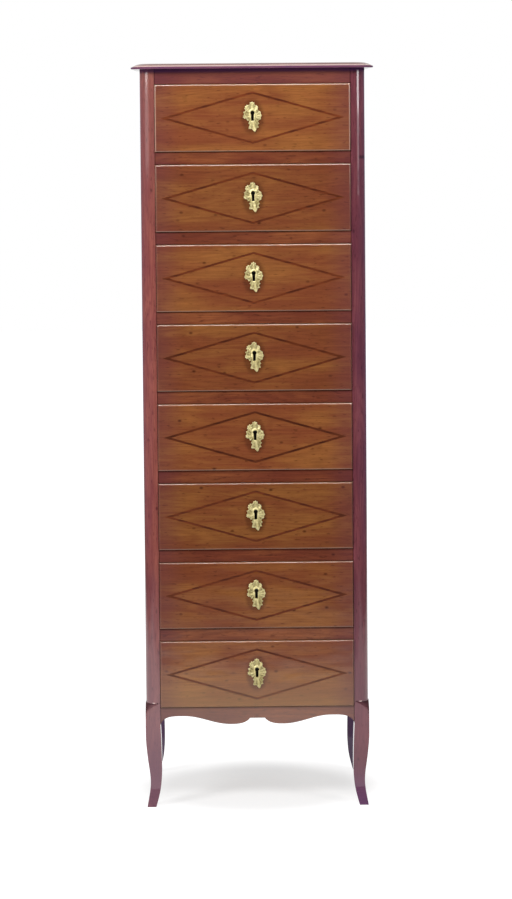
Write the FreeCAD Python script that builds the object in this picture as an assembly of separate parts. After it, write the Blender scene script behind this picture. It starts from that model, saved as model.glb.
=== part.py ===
import FreeCAD
import Part
import math
import os
from FreeCAD import Vector

# Tall narrow chest of eight drawers in polished fruitwood. Millimetres.
# X runs to the right, Y from the front to the back, Z up from the floor.
# The origin is on the floor, under the middle of the top board.

# Case
body_width = 450.0
body_depth = 330.0
apron_top = 203.0
drawer_count = 8
rail_height = 24.0
top_rail_height = 30.0

# Top board with a thumbnail moulding over a small round nose
top_thickness = 11.0
top_overhang = 18.0
top_back_overhang = 6.0
nose_radius = 2.25
quirk_width = 0.8
quirk_height = 0.5
thumbnail_width = 22.0
post_stub_height = 6.0
post_stub_size = 13.0

# Posts, each one piece with its cabriole leg
post_width = 29.0
post_depth = 34.0
post_round = 26.0
knee_swell = 1.0
round_stop_top = 211.0
round_stop_bottom = 184.0
stop_scoop = 2.5
knee_low = 150.0
calf_height = 97.0
calf_inset = 4.0
ankle_height = 50.0
ankle_inset = 9.0
foot_inset = 2.0
foot_width = 18.0
foot_flare = 0.18
heel_flare = 0.3
leg_inner_calf_height = 80.0
leg_inner_calf = 32.3
leg_inner_ankle_height = 46.0
leg_inner_ankle = 30.5
leg_inner_knee_slope = 0.05

# Apron, a shaped rail under the lowest drawer
apron_end_height = 35.0
apron_notch_half = 15.0
apron_notch_height = 22.5
apron_lobe_x = 52.0
apron_lobe_height = 34.7
apron_arch_from_post = 46.0
apron_arch_height = 17.5
apron_notch_slope = 0.7
apron_end_slope = 0.3

# Mortise and tenon joints of the frame
tenon_thickness = 10.0
tenon_shoulder = 3.0
tenon_web = 1.0
mortise_slack = 0.5

# Framed sides and back
side_rail_thickness = 18.0
side_tenon_thickness = 8.0
side_tenon_length = 14.0
side_rail_top_height = 55.0
side_rail_bottom_rise = 42.0
side_arch_rise = 18.0
panel_thickness = 9.0
panel_recess = 6.0
groove_depth = 8.0
panel_slack = 0.5
back_rail_thickness = 18.0
back_tenon_thickness = 8.0
back_bottom_rail_drop = 18.0
back_board_thickness = 10.0
back_board_recess = 4.0
back_board_count = 3
back_board_gap = 0.3

# Runners with a rebated guide, kickers and stops
runner_reach = 22.0
runner_guide_height = 12.0
guide_clearance = 0.4
bottom_runner_height = 15.0
runner_tenon_width = 12.0
runner_tenon_height = 8.0
runner_tenon_length = 8.0
runner_tenon_inset = 4.0
stop_width = 25.0
stop_length = 14.0
stop_height = 6.0
stop_spacing = 140.0
stop_clearance = 0.2

# Drawers
drawer_front_height = 134.0
drawer_gap = 1.0
front_thickness = 20.0
front_proud = 5.0
front_edge_round = 3.0
running_clearance = 0.2
drawer_back_space = 10.0
side_thickness = 10.0
side_height = 128.0
tray_back_thickness = 10.0
tray_back_top = 122.0
bottom_thickness = 6.0
bottom_raise = 9.0
bottom_groove = 4.0
bottom_slack = 0.2
tail_count = 4
tail_first = 31.0
tail_pitch = 26.0
tail_narrow = 12.0
tail_wide = 16.0
front_tail_length = 12.0

# Lozenge of dark stringing let into each drawer front
lozenge_half_width = 176.0
lozenge_half_height = 50.0
string_width = 4.2
string_depth = 1.5

# Keyhole and its cast escutcheon
escutcheon_rise = 1.5
escutcheon_thickness = 2.2
keyhole_above_middle = 8.0
keyhole_radius = 4.2
keyhole_slot_width = 5.4
keyhole_slot_drop = 15.8
pin_radius = 0.7
pin_length = 8.0
pin_head_radius = 1.2
pin_head_height = 0.5

# Each lobe of the escutcheon as its notch and then its tip, clockwise from the top.
escutcheon_lobes = [
    ((-6.5, 24.5), (1.4, 30.2)),
    ((5.0, 23.9), (11.2, 20.8)),
    ((10.4, 14.9), (18.2, 6.5)),
    ((10.4, -9.5), (13.4, -13.1)),
    ((10.4, -16.7), (12.6, -20.3)),
    ((7.7, -22.6), (4.1, -30.2)),
    ((-0.5, -23.9), (-8.4, -21.2)),
    ((-5.0, -16.7), (-8.4, -13.1)),
    ((-5.9, -8.6), (-10.8, -7.6)),
    ((-13.0, -4.0), (-19.4, -0.3)),
    ((-16.7, 5.0), (-18.6, 8.6)),
    ((-14.0, 12.2), (-15.6, 20.3)),
]
escutcheon_pins = [(0.5, 25.0), (-14.5, 2.0), (3.0, -24.5)]

# Half-mortise lock behind each keyhole, with a bolt that rises into the rail above
lock_plate_width = 76.0
lock_plate_drop = 84.0
lock_plate_thickness = 2.0
lock_case_width = 60.0
lock_case_drop = 78.0
lock_case_depth = 9.0
lock_wall = 1.2
selvedge_thickness = 2.0
lock_screw_inset = 4.0
lock_screw_radius = 1.4
lock_screw_length = 8.0
lock_screw_head_radius = 2.6
lock_screw_head_height = 1.2
drill_pin_radius = 1.5
drill_pin_length = 11.0
bolt_width = 22.0
bolt_thickness = 5.0
bolt_height = 35.0
bolt_clearance = 0.3
bolt_travel = 8.0
bolt_tail_width = 14.0
bolt_tail_thickness = 3.0
bolt_tail_height = 17.0
bolt_talon_radius = 5.0
bolt_mortise_margin = 1.5

# Places that follow from the sizes above
half_width = body_width / 2
inner_x = half_width - post_width
overall_depth = top_overhang + body_depth + top_back_overhang
front_y = top_overhang - overall_depth / 2
back_y = front_y + body_depth
frame_front = front_y + post_depth
frame_back = back_y - post_depth
opening_height = drawer_front_height + 2 * drawer_gap
pitch = opening_height + rail_height
openings_top = apron_top + drawer_count * pitch - rail_height
top_underside = openings_top + top_rail_height
corner_x = half_width - post_round
corner_y = front_y + post_round

side_rail_inner = half_width - side_rail_thickness
side_tenon_x = half_width - (side_rail_thickness + side_tenon_thickness) / 2
frame_tenon_length = side_tenon_x - tenon_web - inner_x
frame_tenon_y = front_y + (post_depth - tenon_thickness) / 2
panel_x = half_width - panel_recess - panel_thickness
side_rail_low = apron_top - apron_end_height
side_rail_mid = apron_top + side_rail_bottom_rise
side_rail_high = top_underside - side_rail_top_height
back_rail_low = apron_top - back_bottom_rail_drop
back_rail_front = back_y - back_rail_thickness
back_tenon_y = back_y - (back_rail_thickness + back_tenon_thickness) / 2
back_board_y = back_y - back_board_recess - back_board_thickness

front_half = inner_x - drawer_gap
front_low = drawer_gap
front_high = drawer_gap + drawer_front_height
front_face = front_y - front_proud
front_back = front_face + front_thickness
tray_end = back_rail_front - drawer_back_space
side_low = running_clearance
side_inner = front_half - side_thickness
bottom_low = side_low + bottom_raise
bottom_high = bottom_low + bottom_thickness
escutcheon_z = (front_low + front_high) / 2 + escutcheon_rise
keyhole_z = escutcheon_z + keyhole_above_middle
lock_plate_y = front_back - lock_plate_thickness
lock_case_y = lock_plate_y - lock_case_depth
bolt_y = (lock_case_y + lock_wall + lock_plate_y) / 2


def level(number):
    """Height of the bottom of an opening, counting the drawers from the top."""
    return apron_top + (drawer_count - number) * pitch


def box(x0, x1, y0, y1, z0, z1):
    return Part.makeBox(x1 - x0, y1 - y0, z1 - z0, Vector(x0, y0, z0))


def rod(radius, x, y0, y1, z):
    """Round bar lying along Y."""
    return Part.makeCylinder(radius, y1 - y0, Vector(x, y0, z), Vector(0, 1, 0))


def mirrored(shape):
    return shape.mirror(Vector(0, 0, 0), Vector(1, 0, 0))


def pair(shape):
    return [shape, mirrored(shape)]


def joined(shape, others):
    return shape.fuse(others).removeSplitter().Solids[0]


def sheet(points):
    return Part.Face(Part.makePolygon(points + [points[0]]))


def curve(points, headings):
    """Smooth curve through the points, with a heading at those that have one."""
    fixed = [heading is not None for heading in headings]
    tangents = [heading or Vector(1, 0, 0) for heading in headings]
    spline = Part.BSplineCurve()
    spline.interpolate(Points=points, Tangents=tangents, TangentFlags=fixed)
    return spline.toShape()


def lines(points):
    return [Part.makeLine(a, b) for a, b in zip(points, points[1:])]


def save(name, solids):
    Part.makeCompound(solids).exportStep("parts/" + name + ".step")


# Tenons. The same function gives the tenon and, with slack, its mortise.
def frame_tenon(z0, z1, slack=0.0):
    """Right-hand tenon of a front rail."""
    return box(inner_x, inner_x + frame_tenon_length + slack,
               frame_tenon_y, frame_tenon_y + tenon_thickness,
               z0 + tenon_shoulder, z1 - tenon_shoulder)


def side_tenons(z0, z1, slack=0.0):
    """Front and back tenons of a right-hand side rail, clear of the panel groove."""
    x1 = side_tenon_x + side_tenon_thickness
    front = box(side_tenon_x, x1, frame_front - side_tenon_length - slack, frame_front, z0, z1)
    back = box(side_tenon_x, x1, frame_back, frame_back + side_tenon_length + slack, z0, z1)
    return [front, back]


def back_tenon(z0, z1, slack=0.0):
    """Right-hand tenon of a back rail."""
    return box(inner_x, inner_x + frame_tenon_length + slack,
               back_tenon_y, back_tenon_y + back_tenon_thickness, z0, z1)


def runner_tenon(z, slack=0.0):
    """Stub tenon on the front of a right-hand runner."""
    x0 = inner_x - runner_reach + runner_tenon_inset
    return box(x0, x0 + runner_tenon_width, frame_front - runner_tenon_length - slack, frame_front,
               z - runner_tenon_height / 2, z + runner_tenon_height / 2)


low_tenon_span = (side_rail_low + tenon_shoulder, side_rail_mid - groove_depth - tenon_web)
high_tenon_span = (side_rail_high + groove_depth + tenon_web, top_underside - tenon_shoulder)
back_low_span = (back_rail_low + tenon_shoulder, side_rail_mid - groove_depth - tenon_web)
panel_low = side_rail_mid - groove_depth
panel_high = side_rail_high + groove_depth
rail_spans = [(level(n) - rail_height, level(n)) for n in range(1, drawer_count)]
rail_spans.insert(0, (openings_top, top_underside))
side_panel_groove = box(panel_x, panel_x + panel_thickness, frame_front - groove_depth,
                        frame_back + groove_depth, panel_low, panel_high)
back_panel_groove = box(-inner_x - groove_depth, inner_x + groove_depth, back_board_y,
                        back_board_y + back_board_thickness, panel_low, panel_high)


# Top board
def top_board():
    edge = post_round + top_overhang
    step_u = edge - nose_radius - quirk_width
    step_z = 2 * nose_radius + quirk_height
    drop = top_thickness - step_z
    radius = (thumbnail_width ** 2 + drop ** 2) / (2 * drop)
    half_angle = math.asin(thumbnail_width / radius) / 2
    flat_u = step_u - thumbnail_width

    def at(u, z):
        return Vector(corner_x, corner_y - u, top_underside + z)

    nose_end = at(edge - nose_radius, 2 * nose_radius)
    nose = Part.Arc(at(edge - nose_radius, 0), at(edge, nose_radius), nose_end)
    swell = at(flat_u + radius * math.sin(half_angle),
               top_thickness - radius * (1 - math.cos(half_angle)))
    thumbnail = Part.Arc(at(step_u, step_z), swell, at(flat_u, top_thickness))
    edges = lines([at(0, 0), at(edge - nose_radius, 0)]) + [nose.toShape()]
    edges += lines([nose_end, at(step_u, 2 * nose_radius), at(step_u, step_z)])
    edges += [thumbnail.toShape()]
    edges += lines([at(flat_u, top_thickness), at(0, top_thickness), at(0, 0)])
    section = Part.Face(Part.Wire(edges))

    corner_axis = Vector(corner_x, corner_y, 0)
    corner = section.revolve(corner_axis, Vector(0, 0, 1), 90)
    side_length = back_y + top_back_overhang - corner_y
    turned = section.copy()
    turned.rotate(corner_axis, Vector(0, 0, 1), 90)
    side = turned.extrude(Vector(0, side_length, 0))
    front = section.extrude(Vector(-2 * corner_x, 0, 0))
    middle = box(-corner_x, corner_x, corner_y, corner_y + side_length, top_underside,
                 top_underside + top_thickness)
    board = joined(middle, [front] + pair(corner) + pair(side))
    sockets = []
    for y in (front_y + post_depth / 2, back_y - post_depth / 2):
        sockets += pair(post_stub(y, mortise_slack))
    return board.cut(sockets)


def post_stub(y, slack=0.0):
    """Stub tenon on the head of a right-hand post."""
    x = half_width - post_width / 2
    half = post_stub_size / 2
    return box(x - half, x + half, y - half, y + half, top_underside,
               top_underside + post_stub_height + slack)


# Posts and legs
def post_blank():
    """Right front post as sawn: the same cabriole outline cut from the front and from the side."""
    def outline(place, blank):
        def heading(a, z):
            return place(a, z) - place(0, 0)

        inner = blank + knee_swell
        heel = foot_inset + foot_width
        outer = curve([place(0, knee_low), place(calf_inset, calf_height),
                       place(ankle_inset, ankle_height), place(foot_inset, 0)],
                      [heading(0, -1), None, None, heading(-foot_flare, -1)])
        back = curve([place(heel, 0), place(leg_inner_ankle, leg_inner_ankle_height),
                      place(leg_inner_calf, leg_inner_calf_height), place(inner, side_rail_low)],
                     [heading(heel_flare, 1), None, None, heading(-leg_inner_knee_slope, 1)])
        edges = lines([place(inner, side_rail_low), place(inner, top_underside),
                       place(knee_swell, top_underside), place(knee_swell, round_stop_top),
                       place(0, round_stop_top), place(0, knee_low)])
        edges += [outer] + lines([place(foot_inset, 0), place(heel, 0)]) + [back]
        return Part.Face(Part.Wire(edges))

    def from_front(a, z):
        return Vector(half_width + knee_swell - a, front_y - knee_swell, z)

    def from_side(a, z):
        return Vector(half_width + knee_swell, front_y - knee_swell + a, z)

    reach = 2 * post_depth
    front_cut = outline(from_front, post_width).extrude(Vector(0, reach, 0))
    side_cut = outline(from_side, post_depth).extrude(Vector(-reach, 0, 0))
    return front_cut.common(side_cut)


def post_rounding():
    """Waste outside the rounded corner, with its scooped stop above the knee."""
    over = knee_swell + 1.0
    high = top_underside + 1.0
    waste = box(corner_x, half_width + over, front_y - over, corner_y, round_stop_bottom, high)
    waste = waste.cut(Part.makeCylinder(post_round, high, Vector(corner_x, corner_y, 0)))
    diagonal = math.sqrt(0.5)
    arris = (post_round + knee_swell) / diagonal

    def at(n, z):
        return Vector(corner_x + n * diagonal, corner_y - n * diagonal, z)

    run = arris - post_round
    rise = round_stop_top - round_stop_bottom
    slope = math.hypot(run, rise)
    middle = at((arris + post_round) / 2 - stop_scoop * rise / slope,
                (round_stop_top + round_stop_bottom) / 2 - stop_scoop * run / slope)
    scoop = Part.Arc(at(arris, round_stop_bottom), middle, at(post_round, round_stop_top))
    edges = [scoop.toShape()]
    edges += lines([at(post_round, round_stop_top), at(-post_round, round_stop_top),
                    at(-post_round, high), at(arris + post_round, high),
                    at(arris + post_round, round_stop_bottom), at(arris, round_stop_bottom)])
    across = Vector(post_round, post_round, 0)
    upper = Part.Face(Part.Wire(edges))
    upper.translate(-across)
    return waste.common(upper.extrude(across * 2))


def front_post():
    post = post_blank().cut(post_rounding())
    post = joined(post, [post_stub(front_y + post_depth / 2)])
    mortises = [frame_tenon(z0, z1, mortise_slack) for z0, z1 in rail_spans]
    mortises.append(frame_tenon(side_rail_low, apron_top, mortise_slack))
    for z0, z1 in (low_tenon_span, high_tenon_span):
        mortises += side_tenons(z0, z1, mortise_slack)
    return post.cut(mortises + [side_panel_groove])


def rear_post():
    middle = Vector(0, (front_y + back_y) / 2, 0)
    post = post_blank().mirror(middle, Vector(0, 1, 0))
    post = joined(post, [post_stub(back_y - post_depth / 2)])
    mortises = [back_tenon(*back_low_span, mortise_slack), back_tenon(*high_tenon_span, mortise_slack)]
    for z0, z1 in (low_tenon_span, high_tenon_span):
        mortises += side_tenons(z0, z1, mortise_slack)
    return post.cut(mortises + [side_panel_groove, back_panel_groove])


# Rails across the front
def bolt_mortise(z):
    half_x = bolt_width / 2 + bolt_mortise_margin
    half_y = bolt_thickness / 2 + bolt_mortise_margin
    return box(-half_x, half_x, bolt_y - half_y, bolt_y + half_y, z,
               z + bolt_travel + bolt_mortise_margin)


def front_rail(z0, z1):
    rail = box(-inner_x, inner_x, front_y, frame_front, z0, z1)
    rail = joined(rail, pair(frame_tenon(z0, z1)))
    return rail.cut(pair(runner_tenon((z0 + z1) / 2, mortise_slack)) + [bolt_mortise(z0)])


def apron():
    def at(x, drop):
        return Vector(x, front_y, apron_top - drop)

    arch_x = inner_x - apron_arch_from_post
    points = [at(apron_notch_half, apron_notch_height), at(apron_lobe_x, apron_lobe_height),
              at(arch_x, apron_arch_height), at(inner_x, apron_end_height)]
    level_run = Vector(1, 0, 0)
    right = curve(points, [Vector(apron_notch_slope, 0, -1), level_run, level_run,
                           Vector(apron_end_slope, 0, -1)])
    edges = [right, mirrored(right)]
    edges += lines([at(-apron_notch_half, apron_notch_height), at(apron_notch_half, apron_notch_height)])
    edges += lines([at(inner_x, apron_end_height), at(inner_x, 0), at(-inner_x, 0),
                    at(-inner_x, apron_end_height)])
    board = Part.Face(Part.Wire(Part.sortEdges(edges)[0])).extrude(Vector(0, post_depth, 0))
    board = joined(board, pair(frame_tenon(side_rail_low, apron_top)))
    return board.cut(pair(runner_tenon(apron_top - bottom_runner_height / 2, mortise_slack)))


# Frames and panels of the sides and back
def side_rails():
    top = box(side_rail_inner, half_width, frame_front, frame_back, side_rail_high, top_underside)
    low = [Vector(half_width, frame_front, side_rail_low), Vector(half_width, frame_front, side_rail_mid),
           Vector(half_width, frame_back, side_rail_mid), Vector(half_width, frame_back, side_rail_low)]
    crown = Vector(half_width, (frame_front + frame_back) / 2, side_rail_low + side_arch_rise)
    edges = lines(low) + [Part.Arc(low[3], crown, low[0]).toShape()]
    bottom = Part.Face(Part.Wire(edges)).extrude(Vector(-side_rail_thickness, 0, 0))
    top = joined(top, side_tenons(*high_tenon_span)).cut(side_panel_groove)
    bottom = joined(bottom, side_tenons(*low_tenon_span)).cut(side_panel_groove)
    return pair(top) + pair(bottom)


def back_rails():
    top = box(-inner_x, inner_x, back_rail_front, back_y, side_rail_high, top_underside)
    bottom = box(-inner_x, inner_x, back_rail_front, back_y, back_rail_low, side_rail_mid)
    top = joined(top, pair(back_tenon(*high_tenon_span))).cut(back_panel_groove)
    bottom = joined(bottom, pair(back_tenon(*back_low_span))).cut(back_panel_groove)
    return [top, bottom]


def side_panel():
    return box(panel_x, panel_x + panel_thickness, frame_front - groove_depth + panel_slack,
               frame_back + groove_depth - panel_slack, panel_low + panel_slack, panel_high - panel_slack)


def back_boards():
    half = inner_x + groove_depth - panel_slack
    width = (2 * half - (back_board_count - 1) * back_board_gap) / back_board_count
    boards = []
    for number in range(back_board_count):
        x0 = -half + number * (width + back_board_gap)
        boards.append(box(x0, x0 + width, back_board_y, back_board_y + back_board_thickness,
                          panel_low + panel_slack, panel_high - panel_slack))
    return boards


# Runners, kickers and stops
def runner(z, height):
    """Right-hand runner level with a rail, rebated so that its outer edge guides the drawer side."""
    ledge = box(inner_x - runner_reach, side_rail_inner, frame_front, frame_back, z - height, z)
    guide = box(front_half + guide_clearance, side_rail_inner, frame_front, frame_back, z,
                z + runner_guide_height)
    return joined(ledge, [guide, runner_tenon(z - height / 2)])


def kicker():
    """Right-hand strip that keeps the top drawer from tipping."""
    strip = box(inner_x - runner_reach, side_rail_inner, frame_front, frame_back, openings_top,
                top_underside)
    return joined(strip, [runner_tenon((openings_top + top_underside) / 2)])


def drawer_stop(z):
    x0 = (stop_spacing - stop_width) / 2
    y0 = front_back + stop_clearance
    return box(x0, x0 + stop_width, y0, y0 + stop_length, z, z + stop_height)


# One drawer, standing at the bottom of its opening
def side_tails(y0, y1):
    """Dovetails of the right drawer side, widening from y0 to y1."""
    tails = []
    for number in range(tail_count):
        z = tail_first + number * tail_pitch
        tail = sheet([Vector(side_inner, y0, z - tail_narrow / 2), Vector(side_inner, y1, z - tail_wide / 2),
                      Vector(side_inner, y1, z + tail_wide / 2), Vector(side_inner, y0, z + tail_narrow / 2)])
        tails.append(tail.extrude(Vector(side_thickness, 0, 0)))
    return tails


def keyhole(y0, y1):
    slot = box(-keyhole_slot_width / 2, keyhole_slot_width / 2, y0, y1, keyhole_z - keyhole_slot_drop,
               keyhole_z)
    return joined(rod(keyhole_radius, 0, y0, y1, keyhole_z), [slot])


def stringing():
    """Four mitred strips. The mitre carries each strip past the crossing of the centre lines."""
    angle = math.atan2(lozenge_half_height, lozenge_half_width)
    tip_x = string_width / 2 / math.sin(angle)
    tip_z = string_width / 2 / math.cos(angle)
    middle = (front_low + front_high) / 2

    def at(x, z):
        return Vector(x, front_face, middle + z)

    strip = sheet([at(lozenge_half_width + tip_x, 0), at(0, lozenge_half_height + tip_z),
                   at(0, lozenge_half_height - tip_z), at(lozenge_half_width - tip_x, 0)])
    upper = strip.extrude(Vector(0, string_depth, 0))
    lower = upper.mirror(at(0, 0), Vector(0, 0, 1))
    return pair(upper) + pair(lower)


def escutcheon_plate():
    def at(point):
        return Vector(point[0], front_face, escutcheon_z + point[1])

    arcs = []
    for index, (notch, tip) in enumerate(escutcheon_lobes):
        following = escutcheon_lobes[(index + 1) % len(escutcheon_lobes)][0]
        arcs.append(Part.Arc(at(notch), at(tip), at(following)).toShape())
    plate = Part.Face(Part.Wire(arcs)).extrude(Vector(0, -escutcheon_thickness, 0))
    return plate.cut([keyhole(front_face - escutcheon_thickness, front_face)] + pin_shanks())


def pin_shanks():
    y0 = front_face - escutcheon_thickness
    return [rod(pin_radius, x, y0, y0 + pin_length, escutcheon_z + z) for x, z in escutcheon_pins]


def pins():
    y0 = front_face - escutcheon_thickness
    heads = [rod(pin_head_radius, x, y0 - pin_head_height, y0, escutcheon_z + z) for x, z in escutcheon_pins]
    return [joined(shank, [head]) for shank, head in zip(pin_shanks(), heads)]


def lock_boxes():
    """Back plate and case of the lock, as the space they take."""
    plate = box(-lock_plate_width / 2, lock_plate_width / 2, lock_plate_y, front_back,
                front_high - lock_plate_drop, front_high)
    case = box(-lock_case_width / 2, lock_case_width / 2, lock_case_y, lock_plate_y,
               front_high - lock_case_drop, front_high)
    return [plate, case]


def lock_screws(radius, y0, y1):
    screws = []
    for z in (front_high - lock_screw_inset, front_high - lock_plate_drop + lock_screw_inset):
        screws += pair(rod(radius, lock_plate_width / 2 - lock_screw_inset, y0, y1, z))
    return screws


def lock():
    plate, case = lock_boxes()
    cavity = box(-lock_case_width / 2 + lock_wall, lock_case_width / 2 - lock_wall,
                 lock_case_y + lock_wall, lock_plate_y,
                 front_high - lock_case_drop + lock_wall, front_high - selvedge_thickness)
    half_x = bolt_width / 2 + bolt_clearance
    half_y = bolt_thickness / 2 + bolt_clearance
    mouth = box(-half_x, half_x, bolt_y - half_y, bolt_y + half_y, front_high - selvedge_thickness,
                front_high)
    shanks = lock_screws(lock_screw_radius, front_back - lock_screw_length, front_back)
    heads = lock_screws(lock_screw_head_radius, front_back - lock_screw_head_height, front_back)
    body = joined(plate, [case]).cut([cavity, mouth, keyhole(lock_case_y, lock_case_y + lock_wall)])
    body = body.cut(shanks + heads)
    pin = rod(drill_pin_radius, 0, lock_plate_y - drill_pin_length, lock_plate_y, keyhole_z)
    screws = [joined(shank, [head]) for shank, head in zip(shanks, heads)]
    return [joined(body, [pin])] + screws


def bolt():
    low = front_high - bolt_height
    bar = box(-bolt_width / 2, bolt_width / 2, bolt_y - bolt_thickness / 2, bolt_y + bolt_thickness / 2,
              low, front_high)
    tail = box(-bolt_tail_width / 2, bolt_tail_width / 2, bolt_y - bolt_tail_thickness / 2,
               bolt_y + bolt_tail_thickness / 2, low - bolt_tail_height, low)
    talon = rod(bolt_talon_radius, 0, bolt_y - bolt_thickness, bolt_y + bolt_thickness,
                low - bolt_tail_height)
    return joined(bar, [tail]).cut(talon).Solids[0]


def drawer_front():
    board = box(-front_half, front_half, front_face, front_back, front_low, front_high)
    edges = [edge for edge in board.Edges if abs(edge.CenterOfMass.y - front_face) < 0.01]
    board = board.makeFillet(front_edge_round, edges)
    cuts = stringing() + pin_shanks() + lock_boxes() + [keyhole(front_face, lock_case_y)]
    cuts += lock_screws(lock_screw_radius, front_back - lock_screw_length, front_back)
    cuts.append(box(-side_inner - bottom_groove, side_inner + bottom_groove, front_back - bottom_groove,
                    front_back, bottom_low, bottom_high))
    for tail in side_tails(front_back, front_back - front_tail_length):
        cuts += pair(tail)
    return board.cut(cuts)


def tray():
    tray_back_y = tray_end - tray_back_thickness
    side = box(side_inner, front_half, front_back, tray_back_y, side_low, side_low + side_height)
    back_tails = side_tails(tray_back_y, tray_end)
    side = joined(side, side_tails(front_back, front_back - front_tail_length) + back_tails)
    side = side.cut(box(side_inner, side_inner + bottom_groove, front_back, tray_back_y, bottom_low,
                        bottom_high))
    back = box(-front_half, front_half, tray_back_y, tray_end, bottom_high, tray_back_top)
    for tail in back_tails:
        back = back.cut(pair(tail))
    half = side_inner + bottom_groove - bottom_slack
    bottom = box(-half, half, front_back - bottom_groove + bottom_slack, tray_end, bottom_low, bottom_high)
    return pair(side) + [back, bottom]


os.makedirs("parts", exist_ok=True)

save("top_board", [top_board()])
save("front_right_post", [front_post()])
save("front_left_post", [mirrored(front_post())])
save("rear_right_post", [rear_post()])
save("rear_left_post", [mirrored(rear_post())])
save("drawer_rails", [front_rail(z0, z1) for z0, z1 in rail_spans])
save("apron", [apron()])
save("side_and_back_rails", side_rails() + back_rails())
save("side_panels", pair(side_panel()))
save("back_boards", back_boards())

runners = pair(runner(level(drawer_count), bottom_runner_height)) + pair(kicker())
stops = []
for number in range(1, drawer_count + 1):
    stops += pair(drawer_stop(level(number)))
    if number < drawer_count:
        runners += pair(runner(level(number), rail_height))
save("drawer_runners", runners)
save("drawer_stops", stops)

drawer_pieces = {
    "front": [drawer_front()],
    "stringing": stringing(),
    "tray": tray(),
    "escutcheon": [escutcheon_plate()] + pins(),
    "lock": lock(),
    "bolt": [bolt()],
}
for number in range(1, drawer_count + 1):
    rise = Vector(0, 0, level(number))
    for piece, solids in drawer_pieces.items():
        save("drawer_" + str(number) + "_" + piece, [solid.translated(rise) for solid in solids])
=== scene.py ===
import math

import bmesh
import bpy
from mathutils import Matrix, Vector


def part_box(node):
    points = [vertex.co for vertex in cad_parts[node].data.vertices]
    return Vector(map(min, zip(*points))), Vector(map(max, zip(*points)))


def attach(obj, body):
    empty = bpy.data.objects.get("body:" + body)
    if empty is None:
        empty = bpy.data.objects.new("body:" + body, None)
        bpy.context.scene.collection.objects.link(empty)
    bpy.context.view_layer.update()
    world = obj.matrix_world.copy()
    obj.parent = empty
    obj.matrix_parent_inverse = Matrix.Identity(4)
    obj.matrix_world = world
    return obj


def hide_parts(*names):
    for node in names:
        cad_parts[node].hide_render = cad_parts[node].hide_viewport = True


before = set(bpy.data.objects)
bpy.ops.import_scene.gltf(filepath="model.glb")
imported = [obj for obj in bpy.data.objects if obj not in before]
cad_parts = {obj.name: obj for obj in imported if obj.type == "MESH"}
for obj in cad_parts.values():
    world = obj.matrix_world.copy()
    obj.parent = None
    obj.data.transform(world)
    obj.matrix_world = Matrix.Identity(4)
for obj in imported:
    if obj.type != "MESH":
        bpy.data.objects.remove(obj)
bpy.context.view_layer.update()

# The four posts. Each is one length of fruitwood, square in the case and sawn to a cabriole leg below it.
# The front pair are rounded on the outer corner, down to a scooped stop above the knee, and all four
# are waxed and polished. Sizes are in metres, apart from the escutcheons', which are in millimetres.
top_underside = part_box("top_board")[0].z
knee_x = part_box("front_right_post")[1].x
front_knee_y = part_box("front_right_post")[0].y
rear_knee_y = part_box("rear_right_post")[1].y
knee_swell = 0.001
post_round = 0.026
round_stop_top = 0.211
round_stop_bottom = 0.184
stop_sweep = 2.4
stop_steps = 12
stop_lip = 0.16
stop_lip_fullness = 0.56
leg_arris = 0.0016
leg_step = 0.006
flank_steps = 4
corner_steps = 10
flank_share = 0.7
facet_margin = 1.02
points_before_corner = 2
# Painted shade darkens the scooped stop.
scoop_darkness = 0.3
# A painted highlight on the lip where the rounded corner ends.
lip_highlight = 1.5
lip_highlight_rise = 0.003
lip_highlight_steps = (4, 5)
post_arris = 0.0007
post_dust_and_light_top = 0.55
# Height, inset from the knee and slope of the two saw cuts, from the knee down to the foot.
outer_cut = [(0.150, 0.0, 0.0), (0.097, 0.004, -0.11), (0.050, 0.009, 0.0), (0.0, 0.002, 0.18)]
inner_cut = [(0.168, 0.030, -0.05), (0.080, 0.0323, 0.0), (0.046, 0.0305, 0.1), (0.0, 0.020, 0.3)]
deep_cut = [(0.168, 0.035, -0.05)] + inner_cut[1:]


def cut_at(marks, height):
    """Inset of a saw cut at a height, on a smooth curve through its marks."""
    if height >= marks[0][0]:
        return marks[0][1]
    for (high, inset_high, slope_high), (low, inset_low, slope_low) in zip(marks, marks[1:]):
        if height >= low:
            break
    span = high - low
    t = (height - low) / span
    start = (2 * t ** 3 - 3 * t ** 2 + 1) * inset_low + (t ** 3 - 2 * t ** 2 + t) * span * slope_low
    end = (3 * t ** 2 - 2 * t ** 3) * inset_high + (t ** 3 - t ** 2) * span * slope_high
    return start + end


def outer_corner(height, face, rounded):
    """Outline of a post's outer corner, from its front face round to its side face, as two insets."""
    turns = 2 * flank_steps + corner_steps
    hub = post_round + knee_swell
    if rounded:
        angles = [math.pi / 2 * step / turns for step in range(turns + 1)]
        return [(hub - post_round * math.sin(a), hub - post_round * math.cos(a)) for a in angles]
    facet, fullness = leg_arris, 1.0
    if height > round_stop_bottom:
        t = (height - round_stop_bottom) / (round_stop_top - round_stop_bottom)
        facet = max(leg_arris, hub * t ** stop_sweep)
        fullness = stop_lip_fullness * max(0.0, 1 - (1 - t) / stop_lip)
    corner = []
    for step in range(corner_steps + 1):
        share = step / corner_steps
        flat = Vector((1 - share, share))
        full = Vector((1 - math.sin(math.pi / 2 * share), 1 - math.cos(math.pi / 2 * share)))
        corner.append(tuple(facet * flat.lerp(full, fullness)))
    reach = max(facet_margin * facet, flank_share * (cut_at(inner_cut, height) - face))
    flank = [reach + (facet - reach) * step / flank_steps for step in range(flank_steps)]
    outline = [(along, 0.0) for along in flank] + corner + [(0.0, along) for along in reversed(flank)]
    return [(face + a, face + b) for a, b in outline]


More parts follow.
